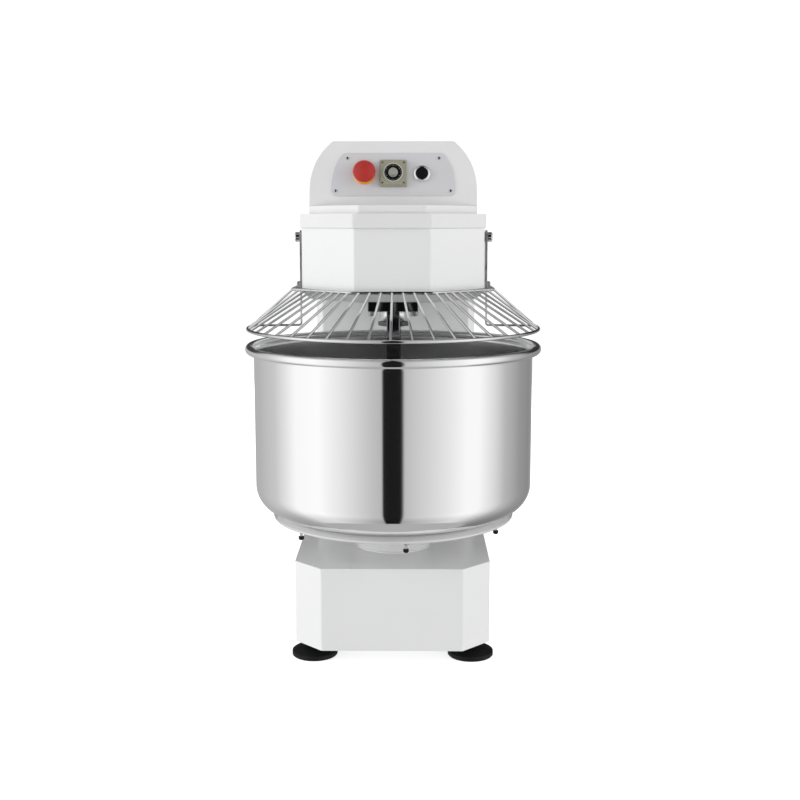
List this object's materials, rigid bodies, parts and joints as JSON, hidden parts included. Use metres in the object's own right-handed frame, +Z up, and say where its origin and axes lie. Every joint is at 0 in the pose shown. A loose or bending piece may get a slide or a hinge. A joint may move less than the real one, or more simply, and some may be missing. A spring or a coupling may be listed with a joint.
{
  "type": "spiral dough mixer",
  "caption": "Floor-standing spiral dough mixer: turning steel bowl, spiral hook, fixed breaker bar, lifting wire guard and sloped control panel on a white pedestal.",
  "frame": {"origin": "on the floor at the centre of the machine's box", "axes": "+Z up, front of the machine towards -Y, +X to the right seen from the front"},
  "size_m": [0.53, 0.83, 0.9075],
  "materials": {
    "white_paint": "gloss powder coat",
    "white_enamel": "high gloss enamel",
    "hood_plastic": "satin moulded",
    "panel_grey": "satin laminate",
    "bowl_steel": "polished stainless",
    "bar_steel": "polished steel",
    "bright_wire": "bright",
    "plain_steel": "machined",
    "dark_steel": "oiled",
    "cast_grey": "painted casting",
    "motor_paint": "satin",
    "black_rubber": "matte",
    "black_plastic": "satin",
    "red_plastic": "satin",
    "yellow_plastic": "satin",
    "timer_beige": "satin",
    "timer_silver": "satin",
    "box_grey": "matte"
  },
  "bodies": {
    "stand": {"base_housing": "white_paint", "base_plate": "plain_steel", "column_housing": "white_paint", "head_housing": "white_paint", "head_pan": "white_paint", "top_hood": "hood_plastic", "rear_cover": "white_paint", "housing_screws": "plain_steel", "foot_pads": "black_rubber", "foot_stems": "plain_steel", "bowl_hub": "white_enamel", "bowl_bearings": "plain_steel", "spiral_housing": "bar_steel", "spiral_bearings": "plain_steel", "counter_bearings": "cast_grey", "motor_bracket": "dark_steel", "motor_body": "motor_paint", "motor_fan_cowl": "black_plastic", "breaker_bar": "bar_steel", "breaker_bolts": "plain_steel", "electrical_box": "box_grey", "control_plate": "panel_grey", "plate_screws": "dark_steel", "estop_collar": "yellow_plastic", "timer_body": "timer_beige", "start_bezel": "bright_wire", "guard_bushes": "black_plastic", "guard_switch": "box_grey", "cable_gland": "black_plastic", "drive_belt": "black_rubber", "spiral_chain": "dark_steel", "bowl_chain": "dark_steel"},
    "bowl": {"bowl_shell": "bowl_steel", "turntable": "white_enamel", "turntable_studs": "plain_steel", "stud_caps": "black_rubber", "bowl_shaft": "plain_steel", "bowl_sprocket": "dark_steel"},
    "spiral": {"spiral_hook": "bar_steel", "spiral_flange": "dark_steel", "spiral_collar": "bright_wire", "spiral_shaft": "plain_steel", "spiral_sprocket": "dark_steel"},
    "countershaft": {"counter_shaft": "plain_steel", "counter_pulley": "cast_grey", "counter_sprocket": "dark_steel", "counter_pinion": "dark_steel"},
    "motor_rotor": {"motor_shaft": "plain_steel", "motor_pulley": "cast_grey"},
    "guard": {"guard_ring": "bright_wire", "guard_top_bar": "bright_wire", "guard_spokes": "bright_wire", "guard_arms": "plain_steel", "guard_braces": "bright_wire", "guard_knobs": "bright_wire", "guard_pivots": "plain_steel"},
    "estop": {"estop_button": "red_plastic"},
    "timer": {"timer_knob": "timer_silver"},
    "start": {"start_button": "black_plastic"}
  },
  "joints": [
    {"name": "bowl_spin", "type": "hinge", "parent": "stand", "child": "bowl", "pos_m": [0, -0.15, 0.25], "axis": [0, 0, 1], "continuous": true},
    {"name": "spiral_spin", "type": "hinge", "parent": "stand", "child": "spiral", "pos_m": [0, -0.025, 0.6], "axis": [0, 0, 1], "continuous": true},
    {"name": "countershaft_spin", "type": "hinge", "parent": "stand", "child": "countershaft", "pos_m": [0, 0.168, 0.5], "axis": [0, 0, 1], "continuous": true},
    {"name": "motor_spin", "type": "hinge", "parent": "stand", "child": "motor_rotor", "pos_m": [0, 0.308, 0.7], "axis": [0, 0, 1], "continuous": true},
    {"name": "guard_lift", "type": "hinge", "parent": "stand", "child": "guard", "pos_m": [0, -0.095, 0.738], "axis": [-1, 0, 0], "range_deg": [0, 75]},
    {"name": "estop_push", "type": "slide", "parent": "stand", "child": "estop", "axis": [0, 0.9613, -0.2756], "range_m": [0, 0.004], "stiffness_N_per_m": 600, "springref_m": -0.004},
    {"name": "timer_turn", "type": "hinge", "parent": "stand", "child": "timer", "pos_m": [0, -0.13401, 0.84875], "axis": [0, 0.9613, -0.2756], "range_deg": [0, 300]},
    {"name": "start_push", "type": "slide", "parent": "stand", "child": "start", "axis": [0, 0.9613, -0.2756], "range_m": [0, 0.002], "stiffness_N_per_m": 400, "springref_m": -0.003}
  ],
  "couplings": [
    {"joint": "spiral_spin", "follows": "bowl_spin", "ratio": 6},
    {"joint": "countershaft_spin", "follows": "bowl_spin", "ratio": 6},
    {"joint": "motor_spin", "follows": "bowl_spin", "ratio": 21}
  ]
}
